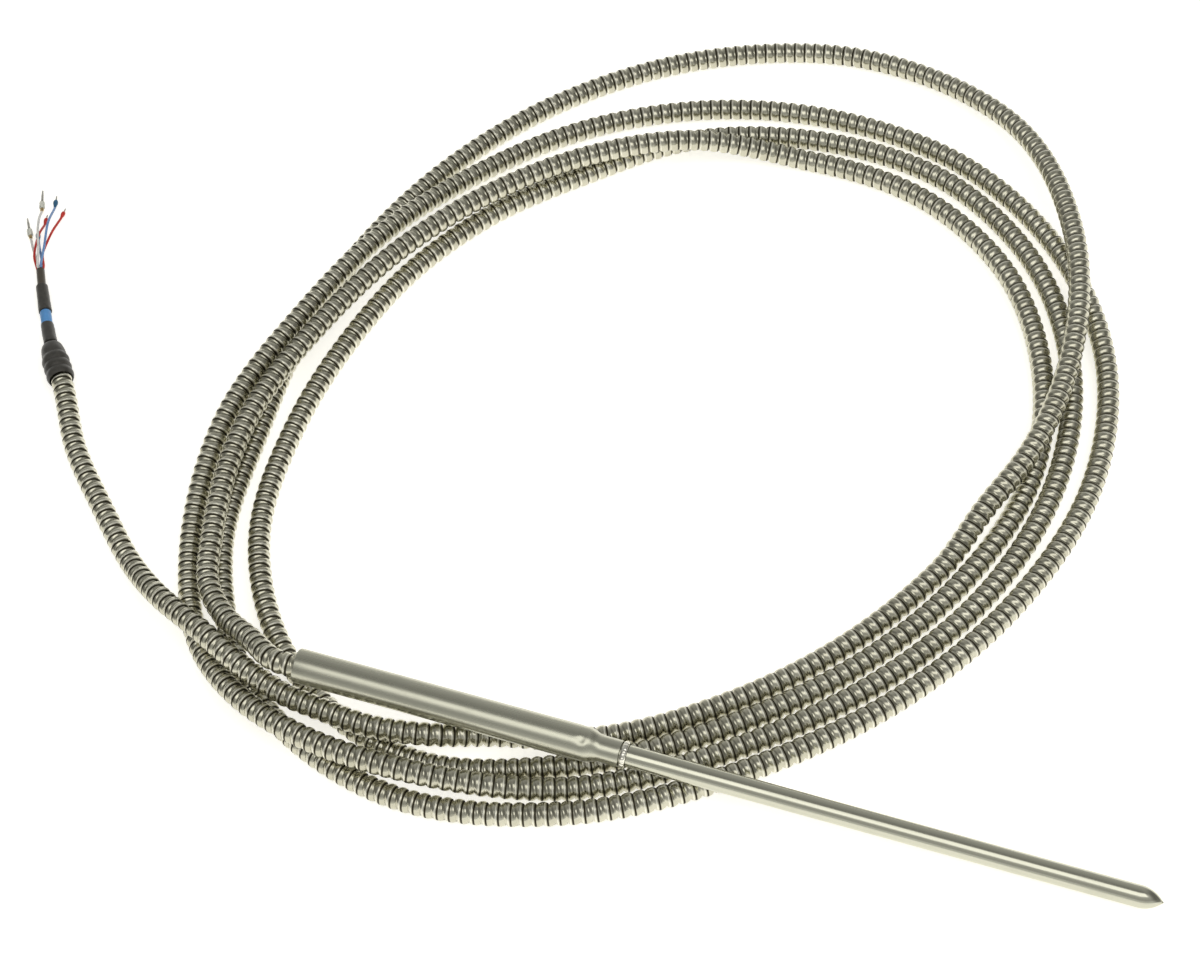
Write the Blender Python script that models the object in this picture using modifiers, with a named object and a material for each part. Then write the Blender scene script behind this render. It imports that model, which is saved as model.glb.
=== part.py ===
"""RTD temperature probe: a pointed steel sheath in a stepped sleeve, on an armoured hose laid in loose turns.

The probe lies along X with its point towards +X, on the floor at z = 0, under its own middle.
The sleeve's rear lies higher than the point, because the sleeve crosses over the hose.
"""

import math

import bmesh
import bpy
from mathutils import Vector

mm = 0.001

# Clearances between neighbouring pieces
fit_gap = 0.3 * mm
small_gap = 0.2 * mm

# Sheath: a 1/4 in tube, closed at the front by its own point
sheath_diameter = 6.35 * mm
sheath_wall = 0.5 * mm
sheath_insert = 20.3 * mm
point_length = 6.6 * mm
nose_radius = 0.35 * mm
point_floor = 2.4 * mm

# Transition sleeve: straight body, taper, then the neck that holds the sheath
sleeve_diameter = 10.2 * mm
sleeve_body_length = 88.0 * mm
taper_length = 4.6 * mm
neck_diameter = 7.7 * mm
neck_length = 5.7 * mm
rear_round = 0.6 * mm
inner_cone_length = 4.0 * mm

# Weld between the neck and the sheath
weld_length = 1.8 * mm
weld_diameter = 8.0 * mm

# How the probe lies
probe_length = 251.8 * mm
sleeve_rear_height = 18.5 * mm

# Sensing element, its leads and their insulators
element_length = 25.0 * mm
element_end_gap = 2.0 * mm
element_round = 0.4 * mm
lead_circle_radius = 1.6 * mm
element_lead_diameter = 0.4 * mm
seal_length = 6.0 * mm
insulator_count = 6

# Splices and wires inside the sleeve
splice_start = 52.0 * mm
splice_length = 6.0 * mm
splice_diameter = 1.4 * mm
splice_bore = 1.0 * mm
splice_overlap = 2.5 * mm
wire_diameter = 0.85 * mm
core_diameter = 0.4 * mm
potting_length = 10.0 * mm

# Armoured hose
hose_diameter = 7.0 * mm
hose_insert = 12.0 * mm
hose_behind = 8.0 * mm
coil_centre = (-62.0 * mm, 132.0 * mm)
bearing_step = 20.0
first_bearing = -140.0
floor_lay = hose_diameter / 2

# Far end of the hose
boot_length = 15.6 * mm
boot_hose_depth = 9.0 * mm
boot_valley_radius = 4.05 * mm
boot_ridge_height = 0.45 * mm
boot_ridges = 3
boot_ridge_pitch = 3.3 * mm
boot_top_radius = 2.5 * mm
boot_lead_in = 3.0 * mm
boot_foot = (-249.1 * mm, 90.7 * mm, 4.5 * mm)
boot_bearing = 128.0
jacket_diameter = 2.8 * mm
lower_shrink_diameter = 4.5 * mm
lower_shrink_setback = 1.1 * mm
band_diameter = 3.75 * mm
upper_shrink_diameter = 4.2 * mm
shrink_round = 0.25 * mm

# Leads
lead_bundle_radius = 0.95 * mm
lead_point_count = 12
lead_spread = 1.3
lead_spread_length = 2.4 * mm
collar_round = 0.25 * mm

wire_names = ("red_2", "blue_1", "white_1", "red_1", "white_2", "blue_2")

colours = {
    "steel": ((0.55, 0.53, 0.48), 0.32, 1.0),
    "weld_steel": ((0.50, 0.47, 0.42), 0.45, 1.0),
    "ceramic": ((0.86, 0.84, 0.78), 0.5, 0.0),
    "platinum": ((0.72, 0.72, 0.70), 0.3, 1.0),
    "epoxy": ((0.25, 0.20, 0.14), 0.45, 0.0),
    "splice_copper": ((0.66, 0.60, 0.52), 0.35, 1.0),
    "armour_steel": ((0.50, 0.48, 0.43), 0.3, 1.0),
    "black_rubber": ((0.03, 0.03, 0.03), 0.6, 0.0),
    "blue_shrink": ((0.10, 0.35, 0.72), 0.5, 0.0),
    "clear_jacket": ((0.07, 0.06, 0.045), 0.4, 0.0),
    "red_insulation": ((0.62, 0.04, 0.03), 0.4, 0.0),
    "white_insulation": ((0.85, 0.84, 0.80), 0.4, 0.0),
    "blue_insulation": ((0.05, 0.14, 0.50), 0.4, 0.0),
    "brass": ((0.70, 0.50, 0.22), 0.35, 1.0),
    "tinned_copper": ((0.66, 0.65, 0.62), 0.35, 1.0),
}

# Lead routes past the jacket's end, in mm: where each lead goes on the bench
lead_routes = {
    "red_1": ((-283.2, 139.4, 2.8), (-285.0, 144.6, 3.0), (-286.2, 149.8, 2.8), (-287.4, 155.0, 0.9)),
    "red_2": ((-281.2, 141.4, 2.0), (-281.9, 145.2, 2.2), (-282.6, 152.0, 2.2), (-283.2, 159.2, 0.9)),
    "blue_1": ((-280.4, 142.6, 5.0), (-284.0, 153.0, 5.0), (-287.4, 163.2, 1.0)),
    "blue_2": ((-281.8, 141.0, 0.9), (-284.2, 144.6, 0.9), (-286.0, 147.6, 1.0)),
    "white_1": ((-282.0, 141.4, 5.0), (-285.2, 147.8, 5.6), (-288.4, 154.6, 4.2), (-291.0, 160.4, 1.1)),
    "white_2": ((-284.4, 141.4, 1.0), (-287.0, 144.8, 1.1), (-289.0, 147.8, 1.1)),
}

# Lead ends by colour, in mm: collar radius, collar length, pin radius, pin length
lead_ends = {
    "red": (0.72, 3.0, 0.28, 1.2),
    "blue": (0.85, 3.4, 0.28, 1.8),
    "white": (0.95, 4.6, 0.45, 5.0),
}

# Hose from the sleeve's rear down onto the coil, in mm
hose_start = ((-142.5, 5.8, 16.2), (-155.5, 13.5, 12.8), (-166.5, 25.0, 10.6))

# Coil, turn by turn, in mm: radius about the coil's centre and height of the hose's middle.
# Each turn takes one step of bearing an entry, clockwise. Low is on the floor, high is over another turn.
low = floor_lay / mm
turn_1 = (
    (143.5, 10.4), (125.2, 10.7), (109.5, 10.8), (102.5, 10.8), (100.5, 10.8), (102.5, 11), (107.5, 10.2),
    (114, low), (121.5, low), (124.5, low), (123.5, low), (122.3, low), (119.7, low), (120, low),
    (124.3, low), (134.7, low), (147, low), (143, low),
)
turn_2 = (
    (129.5, low), (112, low), (101.5, low), (98, low), (98, low), (101.5, low), (114, low),
    (124, low), (132.5, low), (134.3, low), (132.5, low), (130, low), (128, low), (128, low),
    (132, low), (142.8, low), (155, 11), (162.5, 8.8),
)
turn_3 = (
    (152, low), (133.6, 9.5), (117.5, 10.8), (112.5, 10.4), (116, 5), (122, low), (128.5, low),
    (135.5, low), (142, low), (144, low), (143.5, low), (140.5, low), (136.5, low), (136, low),
    (140, low), (150.8, low), (160, low), (157, low),
)
turn_4 = (
    (141.5, low), (123.5, low), (118, low), (118.8, low), (126, low), (138.5, low), (154, low),
    (167, low), (166, 6.2), (149, 10.8), (132.5, 10.8), (119.8, 11), (112, 4), (112, low),
    (116.8, low), (126.5, low),
)
# Half steps where one turn crosses another: steps after the first bearing, radius, height
half_steps = {16.5: (146.5, low), 34.5: (160, 11), 35.5: (160, low), 65.5: (114, 9.2)}

# Hose from under the sleeve, over the lower turns and along the floor, in mm
hose_tail = (
    (-66, 0.9, 4.5), (-84.5, -7, 9.4), (-99.5, -9.5, 10.8), (-116, -8.3, 11.4), (-128, -6.6, 11.9),
    (-142, -2.2, 13), (-160.5, 6.8, 13.4), (-181, 18, 9.2), (-197, 30.5, 3.6), (-214, 47, low),
    (-233, 67, low),
)

# Cable past the boot, in mm: ends of the lower shrink sleeve, the band, the upper shrink sleeve and the jacket
cable_stations = ((-264.8, 111.9, 3.3), (-268.1, 117.1, 2.9), (-274.7, 127.7, 2.5), (-278.7, 134.6, 2.1))

sheath_radius = sheath_diameter / 2
sheath_bore_radius = sheath_radius - sheath_wall
sleeve_radius = sleeve_diameter / 2
neck_radius = neck_diameter / 2
hose_radius = hose_diameter / 2
hose_bore_radius = hose_radius + fit_gap
neck_bore_radius = sheath_radius + fit_gap
neck_start = sleeve_body_length + taper_length
sleeve_length = neck_start + neck_length
sheath_rear = sleeve_length - sheath_insert
shoulder = probe_length - point_length
bead_radius = sheath_bore_radius - fit_gap
pitch = math.asin((sleeve_rear_height - sheath_radius) / shoulder)
sleeve_rear = Vector((-probe_length * math.cos(pitch) / 2, 0, sleeve_rear_height))
probe_direction = Vector((math.cos(pitch), 0, -math.sin(pitch)))


def clear_scene():
    for thing in list(bpy.data.objects):
        bpy.data.objects.remove(thing, do_unlink=True)


def new_collection(name):
    collection = bpy.data.collections.new(name)
    bpy.context.scene.collection.children.link(collection)
    return collection


def get_material(name):
    if name in bpy.data.materials:
        return bpy.data.materials[name]
    colour, roughness, metallic = colours[name]
    material = bpy.data.materials.new(name)
    material.use_nodes = True
    shader = material.node_tree.nodes["Principled BSDF"]
    shader.inputs["Base Color"].default_value = (*colour, 1)
    shader.inputs["Roughness"].default_value = roughness
    shader.inputs["Metallic"].default_value = metallic
    return material


def add_object(name, data, material_name):
    data.materials.append(get_material(material_name))
    thing = bpy.data.objects.new(name, data)
    probe_parts.objects.link(thing)
    return thing


def place_on_axis(thing, along, angle=0.0, radius=0.0):
    """Puts a piece on the probe's pitched axis, or beside it, this far from the sleeve's rear."""
    thing.parent = probe_axis
    thing.location = (radius * math.cos(angle), radius * math.sin(angle), along)


def place_between(thing, start, direction):
    """Puts a piece's own Z axis along a direction in the room."""
    thing.location = start
    thing.rotation_euler = Vector(direction).to_track_quat("Z", "Y").to_euler()


def turned(name, profile, material_name, steps=32, closed=False):
    """Turns a profile of (radius, along) points, which runs down its outer side."""
    mesh = bpy.data.meshes.new(name)
    shape = bmesh.new()
    points = [shape.verts.new((radius, 0, along)) for radius, along in profile]
    for first, second in zip(points, points[1:]):
        shape.edges.new((first, second))
    if closed:
        shape.edges.new((points[-1], points[0]))
    shape.to_mesh(mesh)
    shape.free()
    thing = add_object(name, mesh, material_name)
    screw = thing.modifiers.new("Turn", "SCREW")
    screw.axis = "Z"
    screw.angle = math.tau
    screw.steps = steps
    screw.render_steps = steps
    screw.use_merge_vertices = True
    screw.merge_threshold = 1e-6
    screw.use_smooth_shade = True
    return thing


def arc(centre_radius, centre_along, radius, from_degrees, to_degrees, count):
    """Profile points of an arc, with 0 degrees outwards and 90 degrees towards the top."""
    points = []
    for index in range(count + 1):
        angle = math.radians(from_degrees + (to_degrees - from_degrees) * index / count)
        points.append((centre_radius + radius * math.cos(angle), centre_along + radius * math.sin(angle)))
    return points


def ring(outer_radius, bore_radius, length, rounding, count=3):
    """Profile of a tube with its outer edges rounded, from 0 up to its length."""
    inside = outer_radius - rounding
    top = arc(inside, length - rounding, rounding, 90, 0, count)
    foot = arc(inside, rounding, rounding, 0, -90, count)
    return top + foot + [(bore_radius, 0), (bore_radius, length)]


def rod(radius, length, rounding, count=3):
    """Profile of a solid rod with rounded ends, from 0 up to its length."""
    top = arc(radius - rounding, length - rounding, rounding, 90, 0, count)
    foot = arc(radius - rounding, rounding, rounding, 0, -90, count)
    return [(0, length)] + top + foot + [(0, 0)]


def smooth_points(points, count):
    """Points read evenly from a smooth curve through the given ones."""
    padded = [points[0] * 2 - points[1], *points, points[-1] * 2 - points[-2]]
    spans = len(points) - 1
    result = []
    for index in range(count):
        position = spans * index / (count - 1)
        span = min(int(position), spans - 1)
        t = position - span
        before, start, end, after = padded[span:span + 4]
        slope_in = (end - before) / 2
        slope_out = (after - start) / 2
        cubic = start * 2 - end * 2 + slope_in + slope_out
        square = end * 3 - start * 3 - slope_in * 2 - slope_out
        result.append(((cubic * t + square) * t + slope_in) * t + start)
    return result


def tube(name, points, diameter, material_name, bevel_resolution=2):
    """A round solid along a polyline."""
    curve = bpy.data.curves.new(name, "CURVE")
    curve.dimensions = "3D"
    curve.bevel_depth = diameter / 2
    curve.bevel_resolution = bevel_resolution
    curve.use_fill_caps = True
    spline = curve.splines.new("POLY")
    spline.points.add(len(points) - 1)
    for spline_point, point in zip(spline.points, points):
        spline_point.co = (*point, 1)
    return add_object(name, curve, material_name)


def add_circle(curve, centre, radius, sides):
    spline = curve.splines.new("POLY")
    spline.points.add(sides - 1)
    for index, spline_point in enumerate(spline.points):
        angle = math.tau * index / sides
        spline_point.co = (centre[0] + radius * math.cos(angle), centre[1] + radius * math.sin(angle), 0, 1)
    spline.use_cyclic_u = True


def bored_plug(name, radius, bore_radius, start, length, material_name):
    """A round plug with one bore for each wire, on the probe's axis."""
    curve = bpy.data.curves.new(name, "CURVE")
    curve.dimensions = "2D"
    curve.fill_mode = "BOTH"
    curve.extrude = length / 2
    add_circle(curve, (0, 0), radius, 24)
    for angle in wire_angles.values():
        centre = (lead_circle_radius * math.cos(angle), lead_circle_radius * math.sin(angle))
        add_circle(curve, centre, bore_radius, 8)
    plug = add_object(name, curve, material_name)
    place_on_axis(plug, start + length / 2)


def insulation_name(wire_name):
    return wire_name.split("_")[0] + "_insulation"


def make_sheath():
    """The tube and its point are one piece, hollow from the rear."""
    ogive_radius = (sheath_radius ** 2 + point_length ** 2) / (2 * sheath_radius)
    profile = [(0, probe_length)]
    steps = 10
    for index in range(steps, -1, -1):
        forward = (point_length - nose_radius / 2) * index / steps
        radius = math.sqrt(ogive_radius ** 2 - forward ** 2) + sheath_radius - ogive_radius
        profile.append((max(radius, nose_radius), shoulder + forward))
    bottom = shoulder - point_floor
    profile += [(sheath_radius, sheath_rear), (sheath_bore_radius, sheath_rear), (sheath_bore_radius, bottom)]
    profile.append((0, bottom))
    place_on_axis(turned("sheath", profile, "steel"), 0)


def make_transition_sleeve():
    profile = [(neck_radius, sleeve_length), (neck_radius, neck_start)]
    steps = 8
    for index in range(1, steps):
        share = index / steps
        blend = (1 - math.cos(math.pi * share)) / 2
        radius = neck_radius + (sleeve_radius - neck_radius) * blend
        profile.append((radius, neck_start - taper_length * share))
    profile.append((sleeve_radius, sleeve_body_length))
    profile += arc(sleeve_radius - rear_round, rear_round, rear_round, 0, -90, 4)
    profile += [(hose_bore_radius, 0), (hose_bore_radius, neck_start - inner_cone_length)]
    profile += [(neck_bore_radius, neck_start), (neck_bore_radius, sleeve_length)]
    place_on_axis(turned("transition_sleeve", profile, "steel", closed=True), 0)


def make_weld_bead():
    """A half-round ring in front of the neck, around the sheath."""
    middle = sleeve_length + fit_gap + weld_length / 2
    height = weld_diameter / 2 - neck_bore_radius
    profile = []
    steps = 8
    for index in range(steps + 1):
        angle = math.radians(90 - 180 * index / steps)
        profile.append((neck_bore_radius + height * math.cos(angle), middle + weld_length / 2 * math.sin(angle)))
    place_on_axis(turned("weld_bead", profile, "weld_steel", closed=True), 0)


def make_sensor():
    """The dual element at the front of the bore, its six leads, their insulators and the seal."""
    element_front = shoulder - point_floor - element_end_gap
    element_rear = element_front - element_length
    profile = rod(bead_radius, element_length, element_round)
    place_on_axis(turned("rtd_element", profile, "ceramic", steps=24), element_rear)

    seal_front = sheath_rear + seal_length
    bore_radius = element_lead_diameter / 2 + fit_gap
    bored_plug("sheath_seal", bead_radius, bore_radius, sheath_rear, seal_length, "epoxy")
    bead_pitch = (element_rear - seal_front) / insulator_count
    for index in range(insulator_count):
        start = seal_front + bead_pitch * index + fit_gap / 2
        name = "insulator_%d" % (index + 1)
        bored_plug(name, bead_radius, bore_radius, start, bead_pitch - fit_gap, "ceramic")

    lead_rear = splice_start + splice_length - splice_overlap
    lead_front = element_rear - fit_gap
    for wire_name, angle in wire_angles.items():
        mesh = bpy.data.meshes.new("element_lead_" + wire_name)
        shape = bmesh.new()
        radius = element_lead_diameter / 2
        depth = lead_front - lead_rear
        bmesh.ops.create_cone(shape, cap_ends=True, segments=8, radius1=radius, radius2=radius, depth=depth)
        shape.to_mesh(mesh)
        shape.free()
        lead = add_object(mesh.name, mesh, "platinum")
        place_on_axis(lead, (lead_front + lead_rear) / 2, angle, lead_circle_radius)


def make_splices():
    """Barrels that join the element's leads to the wires, and the wires as far as the hose's end."""
    hose_end = hose_insert + fit_gap
    core_front = splice_start + splice_overlap
    insulation_front = splice_start - fit_gap
    for wire_name, angle in wire_angles.items():
        profile = ring(splice_diameter / 2, splice_bore / 2, splice_length, 0.1 * mm, 1)
        barrel = turned("splice_" + wire_name, profile, "splice_copper", steps=10, closed=True)
        place_on_axis(barrel, splice_start, angle, lead_circle_radius)
        core = core_diameter / 2
        insulation = wire_diameter / 2
        profile = [(0, core_front), (core, core_front), (core, insulation_front)]
        profile += [(insulation, insulation_front), (insulation, hose_end), (0, hose_end)]
        wire = turned("inner_wire_" + wire_name, profile, insulation_name(wire_name), steps=10)
        place_on_axis(wire, 0, angle, lead_circle_radius)
    bore_radius = wire_diameter / 2 + small_gap
    plug_radius = hose_bore_radius - fit_gap
    bored_plug("sleeve_potting", plug_radius, bore_radius, hose_end, potting_length, "epoxy")


def in_metres(points):
    return [Vector(point) * mm for point in points]


def coil_points():
    """The turns, clockwise about the coil's centre, with the half steps in their places."""
    stations = dict(enumerate(turn_1 + turn_2 + turn_3 + turn_4))
    stations.update(half_steps)
    points = []
    for step in sorted(stations):
        radius, height = stations[step]
        bearing = math.radians(first_bearing - bearing_step * step)
        x = coil_centre[0] + radius * mm * math.cos(bearing)
        y = coil_centre[1] + radius * mm * math.sin(bearing)
        points.append(Vector((x, y, height * mm)))
    return points


def boot_direction():
    bearing = math.radians(boot_bearing)
    return Vector((math.cos(bearing), math.sin(bearing), 0))


def make_hose():
    inside = sleeve_rear + probe_direction * hose_insert
    behind = sleeve_rear - probe_direction * hose_behind
    before_boot = Vector(boot_foot) - boot_direction() * boot_lead_in
    hose_end = Vector(boot_foot) + boot_direction() * boot_hose_depth
    points = [inside, behind, *in_metres(hose_start), *coil_points(), *in_metres(hose_tail)]
    points += [before_boot, hose_end]
    tube("armour_hose", points, hose_diameter, "armour_steel", bevel_resolution=3)


def make_boot():
    """Rubber boot: round ridges over the hose's end, then a rounded neck down to the cable."""
    ridge_end = boot_ridges * boot_ridge_pitch
    neck_rise = boot_length - ridge_end
    drop = boot_valley_radius - boot_top_radius
    profile = []
    steps = 7
    for index in range(steps, 0, -1):
        angle = math.radians(90 * index / steps)
        profile.append((boot_top_radius + drop * math.cos(angle), ridge_end + neck_rise * math.sin(angle)))
    ridge_points = 6
    for index in range(boot_ridges * ridge_points, -1, -1):
        share = index / ridge_points
        height = boot_ridge_height * abs(math.sin(math.pi * share))
        profile.append((boot_valley_radius + height, boot_ridge_pitch * share))
    cable_bore = jacket_diameter / 2 + fit_gap
    step_up = boot_hose_depth + fit_gap
    profile += [(hose_bore_radius, 0), (hose_bore_radius, step_up), (cable_bore, step_up), (cable_bore, boot_length)]
    place_between(turned("hose_end_boot", profile, "black_rubber", steps=28, closed=True), boot_foot, boot_direction())


def make_cable():
    """Cable jacket out of the boot, with the two black shrink sleeves and the blue band on it."""
    boot_top = Vector(boot_foot) + boot_direction() * boot_length
    inside_boot = Vector(boot_foot) + boot_direction() * (boot_hose_depth + 2 * fit_gap)
    stations = in_metres(cable_stations)
    tube("cable_jacket", [inside_boot, boot_top, *stations], jacket_diameter, "clear_jacket")
    pieces = (
        ("lower_shrink_sleeve", lower_shrink_diameter, "black_rubber", lower_shrink_setback),
        ("blue_band", band_diameter, "blue_shrink", fit_gap),
        ("upper_shrink_sleeve", upper_shrink_diameter, "black_rubber", fit_gap),
    )
    bore_radius = jacket_diameter / 2 + small_gap
    for index, (name, diameter, material_name, setback) in enumerate(pieces):
        start = [boot_top, *stations][index]
        span = stations[index] - start
        profile = ring(diameter / 2, bore_radius, span.length - setback, min(shrink_round, diameter / 8), 2)
        sleeve = turned(name, profile, material_name, steps=20, closed=True)
        place_between(sleeve, start + span.normalized() * setback, span)


def make_leads():
    """Six leads out of the jacket's end, each with its crimped collar and pin."""
    stations = in_metres(cable_stations)
    forward = (stations[-1] - stations[-2]).normalized()
    aside = forward.cross(Vector((0, 0, 1))).normalized()
    upward = aside.cross(forward)
    for wire_name, angle in wire_angles.items():
        spread = aside * math.cos(angle) + upward * math.sin(angle)
        start = stations[-1] + forward * fit_gap + spread * lead_bundle_radius
        away = stations[-1] + forward * lead_spread_length + spread * lead_bundle_radius * lead_spread
        route = [start, away, *in_metres(lead_routes[wire_name])]
        points = smooth_points(route, lead_point_count)
        tube("lead_" + wire_name, points, wire_diameter, insulation_name(wire_name))

        end = points[-1]
        direction = points[-1] - points[-2]
        direction.z = 0
        direction.normalize()
        collar_radius, collar_length, pin_radius, pin_length = (
            size * mm for size in lead_ends[wire_name.split("_")[0]]
        )
        profile = rod(collar_radius, collar_length, collar_round, 2)
        collar = turned("collar_" + wire_name, profile, insulation_name(wire_name), steps=12)
        place_between(collar, end + direction * fit_gap, direction)
        pin_metal = "brass" if wire_name.startswith("white") else "tinned_copper"
        profile = [(0, pin_length), (pin_radius, pin_length), (pin_radius, 0), (0, 0)]
        pin = turned("pin_" + wire_name, profile, pin_metal, steps=10)
        place_between(pin, end + direction * (collar_length + 2 * fit_gap), direction)


clear_scene()
probe_parts = new_collection("rtd_temperature_probe")
probe_axis = bpy.data.objects.new("probe_axis", None)
probe_axis.location = sleeve_rear
probe_axis.rotation_euler = (0, math.pi / 2 + pitch, 0)
probe_parts.objects.link(probe_axis)
wire_angles = {name: math.tau * index / len(wire_names) for index, name in enumerate(wire_names)}

make_sheath()
make_transition_sleeve()
make_weld_bead()
make_sensor()
make_splices()
make_hose()
make_boot()
make_cable()
make_leads()
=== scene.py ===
import math

import bmesh
import bpy
from mathutils import Matrix, Vector, noise


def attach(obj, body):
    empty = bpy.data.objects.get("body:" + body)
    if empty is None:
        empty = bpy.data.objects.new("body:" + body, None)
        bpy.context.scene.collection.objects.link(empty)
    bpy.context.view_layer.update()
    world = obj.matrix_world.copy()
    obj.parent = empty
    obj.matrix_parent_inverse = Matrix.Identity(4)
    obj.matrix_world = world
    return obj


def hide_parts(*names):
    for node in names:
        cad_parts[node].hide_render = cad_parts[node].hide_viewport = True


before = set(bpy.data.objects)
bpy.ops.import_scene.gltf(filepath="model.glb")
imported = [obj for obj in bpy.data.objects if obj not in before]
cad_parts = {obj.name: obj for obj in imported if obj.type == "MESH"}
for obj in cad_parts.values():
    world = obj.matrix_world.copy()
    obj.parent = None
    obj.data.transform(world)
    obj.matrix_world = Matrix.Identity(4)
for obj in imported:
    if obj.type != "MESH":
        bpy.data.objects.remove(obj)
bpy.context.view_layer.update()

mm = 0.001
print("frame loaded,", len(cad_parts), "CAD pieces")

camera = {
    "eye": (0.13575, -0.35218, 0.63592),
    "lookAt": (-0.06817, 0.10088, 0.0),
    "rollDegrees": -7.5,
    "lens": 78.0,
    "sensorWidth": 36.0,
    "clip": (0.02, 50.0),
}
toViewer = (Vector(camera["eye"]) - Vector(camera["lookAt"])).xy.normalized()


def makeCamera():
    data = bpy.data.cameras.new("viewCamera")
    data.lens = camera["lens"]
    data.sensor_width = camera["sensorWidth"]
    data.clip_start, data.clip_end = camera["clip"]
    viewer = bpy.data.objects.new("viewCamera", data)
    bpy.context.scene.collection.objects.link(viewer)
    eye = Vector(camera["eye"])
    forward = (Vector(camera["lookAt"]) - eye).normalized()
    level = forward.cross(Vector((0, 0, 1))).normalized()
    upright = level.cross(forward)
    roll = math.radians(camera["rollDegrees"])
    right = level * math.cos(roll) + upright * math.sin(roll)
    up = upright * math.cos(roll) - level * math.sin(roll)
    turn = Matrix((right, up, -forward)).transposed().to_4x4()
    viewer.matrix_world = Matrix.Translation(eye) @ turn
    bpy.context.scene.camera = viewer


makeCamera()
bpy.context.scene.view_settings.view_transform = "Standard"

# Where the probe lies: the same sizes as the frame's
probe = {
    "length": 251.8 * mm,
    "pointLength": 6.6 * mm,
    "noseRadius": 0.35 * mm,
    "sheathRadius": 3.175 * mm,
    "sheathWall": 0.5 * mm,
    "sheathInsert": 20.3 * mm,
    "pointFloor": 2.4 * mm,
    "sleeveRadius": 5.1 * mm,
    "sleeveBody": 88.0 * mm,
    "taper": 4.6 * mm,
    "neckRadius": 3.85 * mm,
    "neck": 5.7 * mm,
    "rearRound": 0.6 * mm,
    "innerCone": 4.0 * mm,
    "rearHeight": 18.5 * mm,
    "gap": 0.3 * mm,
    "weldLength": 1.8 * mm,
    "weldRadius": 4.0 * mm,
}
neckStart = probe["sleeveBody"] + probe["taper"]
neckEnd = neckStart + probe["neck"]
slopeLength = probe["length"] - probe["pointLength"]
pitch = math.asin((probe["rearHeight"] - probe["sheathRadius"]) / slopeLength)
probeDirection = Vector((math.cos(pitch), 0, -math.sin(pitch)))
sleeveRear = Vector((-probe["length"] * math.cos(pitch) / 2, 0, probe["rearHeight"]))
probePlace = Matrix.Translation(sleeveRear) @ Matrix.Rotation(math.pi / 2 + pitch, 4, "Y")

# The hose's route, in mm: off the sleeve, round the coil clockwise, and away to the boot
low = 3.5  # height of the hose's middle where it lies on the floor, which is the hose's radius
hoseRoute = {
    "start": ((-142.5, 5.8, 16.2), (-155.5, 13.5, 12.8), (-166.5, 25.0, 10.6)),
    "coilCentre": (-62.0, 132.0),
    "firstBearing": -140.0,
    "bearingStep": 20.0,
    "turns": (  # radius about the coil's centre and height, one for each step of bearing
        (143.5, 10.4), (125.2, 10.7), (109.5, 10.8), (102.5, 10.8), (100.5, 10.8), (102.5, 11), (107.5, 10.2),
        (114, low), (121.5, low), (124.5, low), (123.5, low), (122.3, low), (119.7, low), (120, low),
        (124.3, low), (134.7, low), (147, low), (143, low),
        (129.5, low), (112, low), (101.5, low), (98, low), (98, low), (101.5, low), (114, low),
        (124, low), (132.5, low), (134.3, low), (132.5, low), (130, low), (128, low), (128, low),
        (132, low), (142.8, low), (155, 11), (162.5, 8.8),
        (152, low), (133.6, 9.5), (117.5, 10.8), (112.5, 10.4), (116, 5), (122, low), (128.5, low),
        (135.5, low), (142, low), (144, low), (143.5, low), (140.5, low), (136.5, low), (136, low),
        (140, low), (150.8, low), (160, low), (157, low),
        (141.5, low), (123.5, low), (118, low), (118.8, low), (126, low), (138.5, low), (154, low),
        (167, low), (166, 6.2), (149, 10.8), (132.5, 10.8), (119.8, 11), (112, 4), (112, low),
        (116.8, low), (126.5, low),
    ),
    "halfSteps": {16.5: (146.5, low), 34.5: (160, 11), 35.5: (160, low), 65.5: (114, 9.2)},
    "tail": (
        (-66, 0.9, 4.5), (-84.5, -7, 9.4), (-99.5, -9.5, 10.8), (-116, -8.3, 11.4), (-128, -6.6, 11.9),
        (-142, -2.2, 13), (-160.5, 6.8, 13.4), (-181, 18, 9.2), (-197, 30.5, 3.6), (-214, 47, low),
        (-233, 67, low),
    ),
    "insert": 12.0,
    "behind": 8.0,
    "bootFoot": (-249.1, 90.7, 4.5),
    "bootBearing": 128.0,
    "bootLeadIn": 3.0,
    "bootDepth": 9.0,
    "sampleStep": 2.0,
}
bootBearing = math.radians(hoseRoute["bootBearing"])
bootDirection = Vector((math.cos(bootBearing), math.sin(bootBearing), 0))
bootFoot = Vector(hoseRoute["bootFoot"]) * mm


def routeKeys():
    # the route's own points, in metres
    keys = [
        sleeveRear + probeDirection * hoseRoute["insert"] * mm,
        sleeveRear - probeDirection * hoseRoute["behind"] * mm,
    ]
    keys += [Vector(point) * mm for point in hoseRoute["start"]]
    stations = dict(enumerate(hoseRoute["turns"]))
    stations.update(hoseRoute["halfSteps"])
    for step in sorted(stations):
        radius, height = stations[step]
        bearing = math.radians(hoseRoute["firstBearing"] - hoseRoute["bearingStep"] * step)
        x = hoseRoute["coilCentre"][0] + radius * math.cos(bearing)
        y = hoseRoute["coilCentre"][1] + radius * math.sin(bearing)
        keys.append(Vector((x, y, height)) * mm)
    keys += [Vector(point) * mm for point in hoseRoute["tail"]]
    keys.append(bootFoot - bootDirection * hoseRoute["bootLeadIn"] * mm)
    keys.append(bootFoot + bootDirection * hoseRoute["bootDepth"] * mm)
    return keys


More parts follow.
